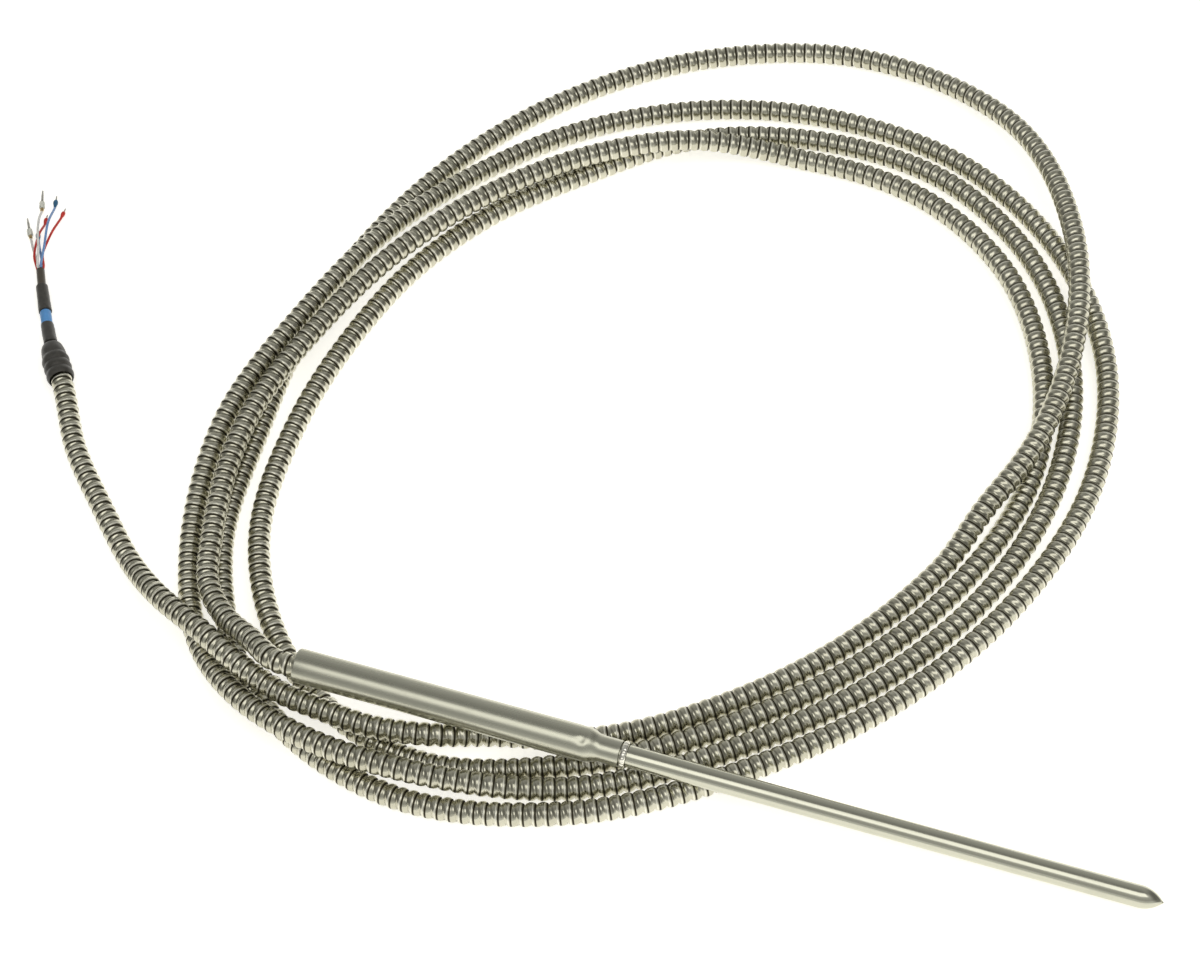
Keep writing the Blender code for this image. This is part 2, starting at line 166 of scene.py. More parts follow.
def smoothRoute(keys, step):
    # a smooth curve through the keys, with slopes weighed by the spans beside them, read every step
    spans = [(b - a).length for a, b in zip(keys, keys[1:])]
    slopes = []
    for index, key in enumerate(keys):
        if index == 0:
            slopes.append((keys[1] - keys[0]) / spans[0])
        elif index == len(keys) - 1:
            slopes.append((keys[-1] - keys[-2]) / spans[-1])
        else:
            before, after = spans[index - 1], spans[index]
            inward = (key - keys[index - 1]) / before
            outward = (keys[index + 1] - key) / after
            slopes.append((inward * after + outward * before) / (before + after))
    points = []
    for index, span in enumerate(spans):
        count = max(2, round(span / step))
        for piece in range(count):
            t = piece / count
            start, end = keys[index], keys[index + 1]
            startPull, endPull = slopes[index] * span, slopes[index + 1] * span
            cubic = (start - end) * 2 + startPull + endPull
            square = (end - start) * 3 - startPull * 2 - endPull
            points.append(((cubic * t + square) * t + startPull) * t + start)
    points.append(keys[-1])
    for point in points:
        point.z = max(point.z, low * mm)
    return points


routePoints = smoothRoute(routeKeys(), hoseRoute["sampleStep"] * mm)


def newGroup(name, inputs, outputs):
    group = bpy.data.node_groups.new(name, "ShaderNodeTree")
    for label, kind, value in inputs:
        socket = group.interface.new_socket(name=label, in_out="INPUT", socket_type="NodeSocket" + kind)
        if value is not None:
            socket.default_value = value
    for label, kind in outputs:
        group.interface.new_socket(name=label, in_out="OUTPUT", socket_type="NodeSocket" + kind)
    return group, group.nodes.new("NodeGroupInput").outputs, group.nodes.new("NodeGroupOutput").inputs


def feed(tree, socket, value):
    # a socket takes a link from another socket, or a plain value
    if isinstance(value, bpy.types.NodeSocket):
        tree.links.new(value, socket)
    else:
        socket.default_value = value


def addNode(tree, kind, inputs=None, **settings):
    # one node: its settings by name, its inputs from sockets or plain values
    node = tree.nodes.new(kind)
    for name, value in settings.items():
        setattr(node, name, value)
    for name, value in (inputs or {}).items():
        feed(tree, node.inputs[name], value)
    return node


def maths(tree, operation, first, second=0.0, clamp=False):
    node = addNode(tree, "ShaderNodeMath", {0: first, 1: second}, operation=operation, use_clamp=clamp)
    return node.outputs[0]


def vectors(tree, operation, first, second):
    # two vectors, or a vector and its scale
    inputs = {0: first, "Scale" if operation == "SCALE" else 1: second}
    return addNode(tree, "ShaderNodeVectorMath", inputs, operation=operation).outputs[0]


def colourMix(tree, factor, first, second):
    node = addNode(tree, "ShaderNodeMix", data_type="RGBA")
    for index, value in ((0, factor), (6, first), (7, second)):
        feed(tree, node.inputs[index], (*value, 1) if isinstance(value, tuple) else value)
    return node.outputs[2]


def rangeOf(tree, value, fromLow, fromHigh, toLow, toHigh, smooth=False):
    limits = {0: value, 1: fromLow, 2: fromHigh, 3: toLow, 4: toHigh}
    kind = "SMOOTHSTEP" if smooth else "LINEAR"
    return addNode(tree, "ShaderNodeMapRange", limits, interpolation_type=kind).outputs[0]


def cloudy(tree, point, scale, detail, roughness=0.5):
    inputs = {"Vector": point, "Scale": scale, "Detail": detail, "Roughness": roughness}
    return addNode(tree, "ShaderNodeTexNoise", inputs).outputs[0]


def makeStreaks():
    # drawn or turned metal: long faint lines, from a noise squeezed across the grain
    group, given, result = newGroup(
        "drawnStreaks",
        [("Vector", "Vector", None), ("Along", "Float", 20.0), ("Across", "Float", 1500.0)],
        [("Streaks", "Float")],
    )
    across, along = given["Across"], given["Along"]
    scale = addNode(group, "ShaderNodeCombineXYZ", {0: across, 1: across, 2: along}).outputs[0]
    stretched = vectors(group, "MULTIPLY", given["Vector"], scale)
    group.links.new(cloudy(group, stretched, 1.0, 3.0, 0.6), result[0])
    return group


def makeSmudges():
    # dull patches left by handling
    group, given, result = newGroup(
        "handlingSmudges",
        [("Vector", "Vector", None), ("Scale", "Float", 60.0), ("Cover", "Float", 0.5)],
        [("Mask", "Float")],
    )
    cloud = cloudy(group, given["Vector"], given["Scale"], 4.0, 0.65)
    fullFrom = maths(group, "ADD", given["Cover"], 0.18)
    mask = rangeOf(group, cloud, given["Cover"], fullFrom, 0.0, 1.0, smooth=True)
    group.links.new(mask, result[0])
    return group


def makeRibBands():
    # across one rib: the seam between bands, painted dark in the hose as shade in the groove; the rolled lip
    # beside it, painted pale as a highlight; and the band's crown
    group, given, result = newGroup(
        "ribBands",
        [("Rib", "Float", 0.0), ("Seam Width", "Float", 0.1), ("Lip Width", "Float", 0.08)],
        [("Seam", "Float"), ("Lip", "Float"), ("Dome", "Float")],
    )
    across = maths(group, "FRACT", given["Rib"])
    toSeam = maths(group, "MINIMUM", across, maths(group, "SUBTRACT", 1.0, across))
    seamCore = maths(group, "MULTIPLY", given["Seam Width"], 0.45)
    seamWithPaintedShade = rangeOf(group, toSeam, seamCore, given["Seam Width"], 1.0, 0.0, smooth=True)
    lipHalf = maths(group, "MULTIPLY", given["Lip Width"], 0.5)
    lipMiddle = maths(group, "ADD", given["Seam Width"], lipHalf)
    toLip = maths(group, "ABSOLUTE", maths(group, "SUBTRACT", across, lipMiddle))
    lipWithPaintedHighlight = rangeOf(group, toLip, maths(group, "MULTIPLY", lipHalf, 0.2), lipHalf, 1.0, 0.0, smooth=True)
    fromMiddle = maths(group, "SUBTRACT", across, 0.5)
    fall = maths(group, "MULTIPLY", maths(group, "MULTIPLY", fromMiddle, fromMiddle), 4.0)
    dome = maths(group, "SUBTRACT", 1.0, fall)
    for index, mask in enumerate((seamWithPaintedShade, lipWithPaintedHighlight, dome)):
        group.links.new(mask, result[index])
    return group


streaksGroup = makeStreaks()
smudgesGroup = makeSmudges()
ribsGroup = makeRibBands()


def newMaterial(name, **plain):
    # the shader's own sockets take the values that are the same all over
    material = bpy.data.materials.new(name)
    material.use_nodes = True
    tree = material.node_tree
    shader = tree.nodes["Principled BSDF"]
    for label, value in plain.items():
        socket = shader.inputs[label.replace("_", " ")]
        socket.default_value = (*value, 1) if isinstance(value, tuple) else value
    return material, tree, shader


def place(tree, group, **values):
    # a shader group's outputs, with its inputs from sockets or plain values
    node = addNode(tree, "ShaderNodeGroup", node_tree=group)
    for label, value in values.items():
        feed(tree, node.inputs[label.replace("_", " ")], value)
    return node.outputs


def objectPoint(tree, rotation=(0, 0, 0)):
    # object coordinates, turned so that Z runs along the piece
    where = tree.nodes.new("ShaderNodeTexCoord").outputs["Object"]
    return addNode(tree, "ShaderNodeMapping", {"Vector": where, "Rotation": rotation}).outputs[0]


def bumpInto(tree, shader, height, strength, distance):
    bump = addNode(tree, "ShaderNodeBump", {"Height": height, "Strength": strength, "Distance": distance})
    tree.links.new(bump.outputs[0], shader.inputs["Normal"])


wear = {"across": 900.0, "scale": 70.0, "cover": 0.52, "share": 0.25, "shade": 0.8, "bumpDepth": 0.1 * mm}


def satinSteel(
    name, colour, tint, roughness, spread, along=12.0, smudge=0.06, rotation=(0, 0, 0), bump=0.08,
):
    material, tree, shader = newMaterial(name, Metallic=1.0)
    point = objectPoint(tree, rotation)
    streaks = place(tree, streaksGroup, Vector=point, Along=along, Across=wear["across"])[0]
    smudges = place(tree, smudgesGroup, Vector=point, Scale=wear["scale"], Cover=wear["cover"])[0]
    dull = tuple(channel * wear["shade"] for channel in colour)
    base = colourMix(tree, rangeOf(tree, streaks, 0.3, 0.7, 0.0, 1.0), colour, tint)
    base = colourMix(tree, maths(tree, "MULTIPLY", smudges, wear["share"]), base, dull)
    tree.links.new(base, shader.inputs["Base Color"])
    rough = rangeOf(tree, streaks, 0.25, 0.75, roughness - spread, roughness + spread)
    rough = maths(tree, "ADD", rough, maths(tree, "MULTIPLY", smudges, smudge))
    tree.links.new(rough, shader.inputs["Roughness"])
    bumpInto(tree, shader, streaks, bump, wear["bumpDepth"])
    return material


grit = {
    "detail": 3.0,
    "patchScale": 180.0,
    "cover": 0.6,
    "dust": (0.3, 0.29, 0.27),
    "spread": 0.06,
    "bump": 0.2,
    "bumpDepth": 0.1 * mm,
}


def dullPlastic(name, colour, shade, roughness, scale=900.0, dustShare=0.15, **plain):
    material, tree, shader = newMaterial(name, **plain)
    point = objectPoint(tree)
    grain = cloudy(tree, point, scale, grit["detail"])
    patches = place(tree, smudgesGroup, Vector=point, Scale=grit["patchScale"], Cover=grit["cover"])[0]
    base = colourMix(tree, rangeOf(tree, grain, 0.35, 0.65, 0.0, 1.0), colour, shade)
    base = colourMix(tree, maths(tree, "MULTIPLY", patches, dustShare), base, grit["dust"])
    tree.links.new(base, shader.inputs["Base Color"])
    rough = rangeOf(tree, grain, 0.3, 0.7, roughness - grit["spread"], roughness + grit["spread"])
    tree.links.new(rough, shader.inputs["Roughness"])
    bumpInto(tree, shader, grain, grit["bump"], grit["bumpDepth"])
    return material


strip = {
    "seamWidth": 0.115,  # a share of one rib, like the lip's
    "lipWidth": 0.18,
    "bright": (0.61, 0.595, 0.485),
    "dull": (0.53, 0.515, 0.41),
    "smudge": (0.43, 0.41, 0.32),
    "smudgeShare": 0.3,
    # painted highlight: the pale lip colour stands for the light that each lip catches
    "lipWithPaintedHighlight": (0.95, 0.93, 0.81),
    # painted shade: the near-black colour in each seam stands for the shade in the groove between ribs
    "seamWithPaintedShade": (0.05, 0.043, 0.026),
    "roughness": (0.19, 0.24),
    "lipRougher": 0.28,
    "seamRougher": 0.35,
    "crownRelief": 0.3,
    "lipRelief": 0.35,
    "bump": (0.6, 0.3 * mm),  # strength and depth
}


def hoseSteel():
    material, tree, shader = newMaterial("hoseSteel", Metallic=1.0)
    ribUv = addNode(tree, "ShaderNodeUVMap", uv_map="ribUv").outputs[0]
    rib = addNode(tree, "ShaderNodeSeparateXYZ", {0: ribUv}).outputs[0]
    bands = place(tree, ribsGroup, Rib=rib, Seam_Width=strip["seamWidth"], Lip_Width=strip["lipWidth"])
    seamWithPaintedShade, lipWithPaintedHighlight, dome = bands["Seam"], bands["Lip"], bands["Dome"]
    point = objectPoint(tree)
    grain = cloudy(tree, point, 1400.0, 2.0)
    tone = cloudy(tree, point, 45.0, 2.0)
    smudges = place(tree, smudgesGroup, Vector=point, Scale=120.0, Cover=0.5)[0]
    base = colourMix(tree, rangeOf(tree, tone, 0.35, 0.65, 0.0, 1.0), strip["bright"], strip["dull"])
    base = colourMix(tree, maths(tree, "MULTIPLY", smudges, strip["smudgeShare"]), base, strip["smudge"])
    # painted highlight: the lips are paled as the light they catch
    base = colourMix(tree, lipWithPaintedHighlight, base, strip["lipWithPaintedHighlight"])
    # painted shade: the seams are darkened as the shade in the groove
    base = colourMix(tree, seamWithPaintedShade, base, strip["seamWithPaintedShade"])
    tree.links.new(base, shader.inputs["Base Color"])
    rough = rangeOf(tree, grain, 0.3, 0.7, *strip["roughness"])
    rough = maths(tree, "ADD", rough, maths(tree, "MULTIPLY", lipWithPaintedHighlight, strip["lipRougher"]))
    rough = maths(tree, "ADD", rough, maths(tree, "MULTIPLY", seamWithPaintedShade, strip["seamRougher"]))
    tree.links.new(rough, shader.inputs["Roughness"])
    # each rib is domed from seam to seam, with its lip standing up a little
    crown = maths(tree, "MULTIPLY", dome, strip["crownRelief"])
    relief = maths(tree, "ADD", crown, maths(tree, "MULTIPLY", lipWithPaintedHighlight, strip["lipRelief"]))
    bumpInto(tree, shader, relief, *strip["bump"])
    return material


probeTurn = (0, -(math.pi / 2 + pitch), 0)
turned = {"rotation": probeTurn}
finishes = {
    "sleeve": satinSteel("turnedSteel", (0.58, 0.577, 0.475), (0.53, 0.527, 0.435), 0.28, 0.04, **turned),
    "sheath": satinSteel("drawnSteel", (0.61, 0.607, 0.50), (0.56, 0.557, 0.46), 0.18, 0.04, **turned),
    # painted sheen: the weld bead's steel is made far paler than the sleeve's, so that the bead shines bright
    "weld": satinSteel(
        "weldSteel", (0.97, 0.955, 0.87), (0.80, 0.78, 0.68), 0.22, 0.06,
        along=500.0, smudge=0.05, bump=0.25,
    ),
    "hose": hoseSteel(),
    "rubber": dullPlastic("blackShrink", (0.045, 0.043, 0.037), (0.062, 0.058, 0.05), 0.40),
    "jacket": dullPlastic("darkJacket", (0.06, 0.052, 0.04), (0.085, 0.07, 0.05), 0.36),
    "blueBand": dullPlastic("blueShrink", (0.105, 0.34, 0.74), (0.12, 0.37, 0.78), 0.42, dustShare=0.06),
    "red": dullPlastic("redInsulation", (0.62, 0.035, 0.028), (0.70, 0.05, 0.035), 0.34, dustShare=0.04),
    "white": dullPlastic("whiteInsulation", (0.86, 0.855, 0.82), (0.80, 0.795, 0.76), 0.32, dustShare=0.08),
    "blue": dullPlastic("blueInsulation", (0.17, 0.33, 0.65), (0.20, 0.37, 0.70), 0.34, dustShare=0.04),
    "clearCap": dullPlastic(
        "clearCap", (0.80, 0.81, 0.73), (0.86, 0.87, 0.80), 0.22, dustShare=0.04, Transmission_Weight=0.45,
    ),
    "blueEnd": dullPlastic("blueEndCap", (0.035, 0.14, 0.27), (0.05, 0.18, 0.32), 0.30, dustShare=0.08),
    "brass": satinSteel("crimpBrass", (0.66, 0.50, 0.26), (0.58, 0.43, 0.21), 0.30, 0.06, along=300.0),
    "tinned": satinSteel("tinnedPin", (0.66, 0.65, 0.61), (0.58, 0.57, 0.53), 0.32, 0.06, along=300.0),
    "ceramic": dullPlastic("sinteredCeramic", (0.84, 0.82, 0.76), (0.88, 0.86, 0.81), 0.55, scale=2500.0),
    "platinum": satinSteel("bareLeadWire", (0.72, 0.71, 0.69), (0.66, 0.65, 0.63), 0.26, 0.05, **turned),
    "epoxy": dullPlastic("pottingResin", (0.20, 0.15, 0.10), (0.27, 0.21, 0.14), 0.42, scale=1500.0),
    "spliceCopper": satinSteel("tinnedSplice", (0.66, 0.60, 0.52), (0.60, 0.52, 0.43), 0.34, 0.07, **turned),
}
print("finishes mixed,", len(finishes))


def finishPiece(mesh, name, materials, replaced, smoothAngle=32.0):
    # a finished piece: shaded, in the scene, on the body, standing for its CAD node
    piece = bpy.data.objects.new(name, mesh)
    bpy.context.scene.collection.objects.link(piece)
    for material in materials:
        if material.name not in mesh.materials:
            mesh.materials.append(material)
    mesh.shade_smooth()
    mesh.set_sharp_from_angle(angle=math.radians(smoothAngle))
    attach(piece, "root")
    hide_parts(replaced)
    return piece


def lathe(name, profile, steps, matrix, closed=False, shape=None):
    # turns (radius, along) points about Z; shape(radius, angle, along) may move each point
    solid = bmesh.new()
    rings = []
    for radius, along in profile:
        ring = []
        for step in range(1 if radius == 0 else steps):
            angle = math.tau * step / steps
            r, a, z = shape(radius, angle, along) if shape else (radius, angle, along)
            ring.append(solid.verts.new((r * math.cos(a), r * math.sin(a), z)))
        rings.append(ring)
    if closed:
        rings.append(rings[0])
    for first, second in zip(rings, rings[1:]):
        for step in range(steps):
            corners = [first[step % len(first)], first[(step + 1) % len(first)]]
            corners += [second[(step + 1) % len(second)], second[step % len(second)]]
            corners = list(dict.fromkeys(corners))
            if len(corners) > 2:
                solid.faces.new(corners)
    bmesh.ops.recalc_face_normals(solid, faces=solid.faces)
    bmesh.ops.transform(solid, matrix=matrix, verts=solid.verts)
    mesh = bpy.data.meshes.new(name)
    solid.to_mesh(mesh)
    solid.free()
    return mesh


def arcPoints(centreRadius, centreAlong, radius, fromDegrees, toDegrees, count):
    points = []
    for index in range(count + 1):
        angle = math.radians(fromDegrees + (toDegrees - fromDegrees) * index / count)
        points.append((centreRadius + radius * math.cos(angle), centreAlong + radius * math.sin(angle)))
    return points


def alongAxis(start, direction):
    return Matrix.Translation(start) @ Vector(direction).to_track_quat("Z", "Y").to_matrix().to_4x4()


def roundNoise(angle, scale, third):
    # a noise that meets itself again after one turn about the axis
    return noise.noise(Vector((math.cos(angle) * scale, math.sin(angle) * scale, third)))


sheathLook = {"sides": 96, "pointRings": 28, "noseArc": (75, 25), "noseRings": 4, "shankRings": 24}


def makeSheath():
    radius, point, nose = probe["sheathRadius"], probe["pointLength"], probe["noseRadius"]
    shoulder = probe["length"] - point
    ogive = (radius ** 2 + point ** 2) / (2 * radius)
    profile = [(0, probe["length"])]
    profile += arcPoints(0, probe["length"] - nose, nose, *sheathLook["noseArc"], sheathLook["noseRings"])
    for index in range(sheathLook["pointRings"] - 2, -1, -1):
        forward = point * index / sheathLook["pointRings"]
        profile.append((math.sqrt(ogive ** 2 - forward ** 2) + radius - ogive, shoulder + forward))
    rear = neckEnd - probe["sheathInsert"]
    for index in range(1, sheathLook["shankRings"]):
        profile.append((radius, shoulder + (rear - shoulder) * index / sheathLook["shankRings"]))
    bore = radius - probe["sheathWall"]
    floor = shoulder - probe["pointFloor"]
    profile += [(radius, rear), (bore, rear), (bore, floor), (0, floor)]
    mesh = lathe("probeSheath", profile, sheathLook["sides"], probePlace)
    return finishPiece(mesh, "probeSheath", [finishes["sheath"]], "sheath")


sleeveLook = {
    "sides": 128,
    "neckRings": 6,
    "taperRings": 14,
    "fineLength": 8.0 * mm,  # of the body behind the taper, where the dimples need closer rings
    "fineRings": 16,
    "bodyRings": 20,
    "edgeRound": 0.12 * mm,
    "boreRound": 0.3 * mm,
    "dimpleCount": 4,
    "dimpleAngle": 69.0,  # degrees above the level, of the first one
    "dimpleAlong": 87.2 * mm,
    "dimpleDepth": 0.28 * mm,
    "dimpleReach": 1.15 * mm,
}


def makeSleeve():
    body, rearRound, gap = probe["sleeveBody"], probe["rearRound"], probe["gap"]
    outer, neck = probe["sleeveRadius"], probe["neckRadius"]
    edge, boreRound, fine = sleeveLook["edgeRound"], sleeveLook["boreRound"], sleeveLook["fineLength"]
    neckRings, taperRings = sleeveLook["neckRings"], sleeveLook["taperRings"]
    fineRings, bodyRings = sleeveLook["fineRings"], sleeveLook["bodyRings"]
    profile = arcPoints(neck - edge, neckEnd - edge, edge, 90, 0, 3)
    for index in range(1, neckRings):
        profile.append((neck, neckEnd - (neckEnd - neckStart) * index / neckRings))
    for index in range(taperRings + 1):
        share = index / taperRings
        radius = neck + (outer - neck) * (1 - math.cos(math.pi * share)) / 2
        profile.append((radius, neckStart - probe["taper"] * share))
    for index in range(1, fineRings):
        profile.append((outer, body - fine * index / fineRings))
    for index in range(1, bodyRings):
        profile.append((outer, (body - fine) * (1 - index / bodyRings) + rearRound))
    profile += arcPoints(outer - rearRound, rearRound, rearRound, 0, -90, 8)
    hoseBore = low * mm + gap
    sheathBore = probe["sheathRadius"] + gap
    profile += arcPoints(hoseBore + boreRound, boreRound, boreRound, -90, -180, 4)
    profile += [(hoseBore, neckStart - probe["innerCone"]), (sheathBore, neckStart), (sheathBore, neckEnd)]
    count = sleeveLook["dimpleCount"]
    first = math.radians(180 - sleeveLook["dimpleAngle"])

    def dimple(radius, angle, along):
        # punch marks round the outside, never in the bore
        if radius > neck - gap:
            for index in range(count):
                turn = (angle - first - math.tau * index / count + math.pi) % math.tau - math.pi
                away = math.hypot(turn * outer, along - sleeveLook["dimpleAlong"]) / sleeveLook["dimpleReach"]
                radius -= sleeveLook["dimpleDepth"] * math.exp(-away * away)
        return radius, angle, along

    mesh = lathe("probeSleeve", profile, sleeveLook["sides"], probePlace, closed=True, shape=dimple)
    steel = [finishes["sleeve"]]
    return finishPiece(mesh, "probeSleeve", steel, "transition_sleeve", smoothAngle=40)


weldLook = {
    "sides": 160,
    "rings": 14,
    "ripples": 22,
    "rippleHeight": 0.10 * mm,
    "rippleTwist": 1.2,
    "unevenHeight": 0.16 * mm,
    "unevenScale": 2.2,
    "lean": 0.14 * mm,
    "leanScale": 5,
    "seed": 4.0,
}


def makeWeld():
    # stacked ripples of a hand-made bead, a little uneven all the way round
    half = probe["weldLength"] / 2
    middle = neckEnd + probe["gap"] + half
    bore = probe["sheathRadius"] + probe["gap"]
    height = probe["weldRadius"] - bore
    profile = []
    for index in range(weldLook["rings"] + 1):
        angle = math.radians(90 - 180 * index / weldLook["rings"])
        profile.append((bore + height * math.cos(angle), middle + half * math.sin(angle)))

    def ripple(radius, angle, along):
        share = (radius - bore) / height
        if share <= 0.01:
            return radius, angle, along
        wave = abs(math.sin(angle * weldLook["ripples"] / 2 + share * weldLook["rippleTwist"]))
        uneven = roundNoise(angle, weldLook["unevenScale"], weldLook["seed"])
        radius += share * (weldLook["rippleHeight"] * (wave - 0.6) + weldLook["unevenHeight"] * uneven)
        along += weldLook["lean"] * roundNoise(angle, weldLook["leanScale"], share) * share
        return radius, angle, along

    mesh = lathe("weldRing", profile, weldLook["sides"], probePlace, closed=True, shape=ripple)
    return finishPiece(mesh, "weldRing", [finishes["weld"]], "weld_bead", smoothAngle=60)


makeSheath()
makeSleeve()
makeWeld()
print("probe turned")

hose = {
    "diameter": 2 * low * mm,
    "ribPitch": 3.45 * mm,
    "groove": 0.76 * mm,
    "shoulderDrop": 0.34 * mm,
    "sides": 18,
    "ringPlaces": (0.0, 0.10, 0.36, 0.64, 0.90),  # of the five rings in each rib, as a share of its width
    "weldDistance": 0.01 * mm,
}
hoseInputs = {
    "Diameter": hose["diameter"],
    "Rib Pitch": hose["ribPitch"],
    "Groove": hose["groove"],
    "Shoulder Drop": hose["shoulderDrop"],
    "Sides": hose["sides"],
}


def pickByIndex(tree, index, values):
    node = addNode(tree, "GeometryNodeIndexSwitch", data_type="FLOAT")
    while len(node.index_switch_items) < len(values):
        node.index_switch_items.new()
    feed(tree, node.inputs["Index"], index)
    for slot, value in enumerate(values):
        feed(tree, node.inputs[slot + 1], value)
    return node.outputs[0]


def ribbedHoseTree():
    # winds a strip of rounded bands round a path, as a right-hand helix with one rib a turn
    tree = bpy.data.node_groups.new("ribbedHose", "GeometryNodeTree")
    tree.interface.new_socket(name="Path", in_out="INPUT", socket_type="NodeSocketGeometry")
    for label, value in hoseInputs.items():
        kind = "NodeSocketInt" if isinstance(value, int) else "NodeSocketFloat"
        socket = tree.interface.new_socket(name=label, in_out="INPUT", socket_type=kind)
        socket.default_value = value
    tree.interface.new_socket(name="Material", in_out="INPUT", socket_type="NodeSocketMaterial")
    tree.interface.new_socket(name="Hose", in_out="OUTPUT", socket_type="NodeSocketGeometry")
    given = tree.nodes.new("NodeGroupInput").outputs
    result = tree.nodes.new("NodeGroupOutput").inputs

    def calc(operation, first, second=0.0):
        return maths(tree, operation, first, second)

    ringsInRib = float(len(hose["ringPlaces"]))
    length = addNode(tree, "GeometryNodeCurveLength", {0: given["Path"]}).outputs[0]
    ribCount = calc("CEIL", calc("DIVIDE", length, given["Rib Pitch"]))
    lastRing = calc("MULTIPLY", calc("ADD", ribCount, 2.0), ringsInRib)

    # a grid whose X counts rings along the hose and whose Y counts points around it
    rows, columns = calc("ADD", lastRing, 1.0), calc("ADD", given["Sides"], 1.0)
    extent = {"Size X": lastRing, "Size Y": given["Sides"], "Vertices X": rows, "Vertices Y": columns}
    grid = addNode(tree, "GeometryNodeMeshGrid", extent).outputs["Mesh"]
    position = tree.nodes.new("GeometryNodeInputPosition").outputs[0]
    where = addNode(tree, "ShaderNodeSeparateXYZ", {0: position}).outputs
    ring = calc("ROUND", calc("ADD", where[0], calc("MULTIPLY", lastRing, 0.5)))
    around = calc("ROUND", calc("ADD", where[1], calc("MULTIPLY", given["Sides"], 0.5)))
    turnShare = calc("DIVIDE", around, given["Sides"])
    whole = calc("FLOOR", calc("DIVIDE", calc("ADD", ring, 0.5), ringsInRib))
    part = calc("ROUND", calc("SUBTRACT", ring, calc("MULTIPLY", whole, ringsInRib)))
    fraction = pickByIndex(tree, part, hose["ringPlaces"])
    rib = calc("ADD", calc("ADD", calc("SUBTRACT", whole, 1.0), fraction), turnShare)
    wanted = calc("MULTIPLY", rib, given["Rib Pitch"])
    along = calc("MINIMUM", calc("MAXIMUM", wanted, 0.0), length)

    # the radius falls at the seams, and is nought on the two end rings, which close the hose
    groove, shoulder = given["Groove"], given["Shoulder Drop"]
    drop = pickByIndex(tree, part, (groove, shoulder, 0.0, 0.0, shoulder))
    beyond = calc("GREATER_THAN", calc("ABSOLUTE", calc("SUBTRACT", wanted, along)), 1e-6)
    within = calc("SUBTRACT", 1.0, beyond)
    drop = calc("ADD", calc("MULTIPLY", drop, within), calc("MULTIPLY", groove, beyond))
    radius = calc("SUBTRACT", calc("MULTIPLY", given["Diameter"], 0.5), drop)
    notFirst = calc("GREATER_THAN", ring, 0.5)
    notLast = calc("LESS_THAN", ring, calc("SUBTRACT", lastRing, 0.5))
    radius = calc("MULTIPLY", radius, calc("MULTIPLY", notFirst, notLast))

    read = {"Curves": given["Path"], "Length": along}
    sample = addNode(tree, "GeometryNodeSampleCurve", read, mode="LENGTH").outputs
    angle = calc("MULTIPLY", turnShare, math.tau)
    side = vectors(tree, "CROSS_PRODUCT", sample["Tangent"], sample["Normal"])
    spokes = []
    for direction, wave in ((sample["Normal"], "COSINE"), (side, "SINE")):
        reach = calc("MULTIPLY", radius, calc(wave, angle))
        spokes.append(vectors(tree, "SCALE", direction, reach))
    offset = vectors(tree, "ADD", spokes[0], spokes[1])
    point = vectors(tree, "ADD", offset, sample["Position"])

    pair = addNode(tree, "ShaderNodeCombineXYZ", {0: rib, 1: turnShare}).outputs[0]
    stored = {"Geometry": grid, "Name": "ribUv", "Value": pair}
    geometry = addNode(
        tree, "GeometryNodeStoreNamedAttribute", stored, data_type="FLOAT2", domain="CORNER",
    ).outputs[0]
    for kind, inputs in (
        ("SetPosition", {"Position": point}), ("MergeByDistance", {"Distance": hose["weldDistance"]}),
        ("FlipFaces", {}), ("SetShadeSmooth", {}), ("RealizeInstances", {}),
        ("SetMaterial", {"Material": given["Material"]}),
    ):
        geometry = addNode(tree, "GeometryNode" + kind, {0: geometry, **inputs}).outputs[0]
    tree.links.new(geometry, result[0])
    return tree


def makeHose():
    curve = bpy.data.curves.new("hosePath", "CURVE")
    curve.dimensions = "3D"
    curve.twist_mode = "Z_UP"
    spline = curve.splines.new("POLY")
    spline.points.add(len(routePoints) - 1)
    for splinePoint, point in zip(spline.points, routePoints):
        splinePoint.co = (*point, 1)
    path = bpy.data.objects.new("hosePath", curve)
    bpy.context.scene.collection.objects.link(path)
    ribs = path.modifiers.new("ribs", "NODES")
    ribs.node_group = ribbedHoseTree()
    values = {**hoseInputs, "Material": finishes["hose"]}
    for item in ribs.node_group.interface.items_tree:
        if item.in_out == "INPUT" and item.name in values:
            ribs[item.identifier] = values[item.name]
    seen = path.evaluated_get(bpy.context.evaluated_depsgraph_get())
    mesh = bpy.data.meshes.new_from_object(seen)
    mesh.name = "armourHose"
    bpy.data.objects.remove(path, do_unlink=True)
    piece = bpy.data.objects.new("armourHose", mesh)
    bpy.context.scene.collection.objects.link(piece)
    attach(piece, "root")
    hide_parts("armour_hose")
    return piece


armourHose = makeHose()
print("hose wound,", len(armourHose.data.polygons), "faces")

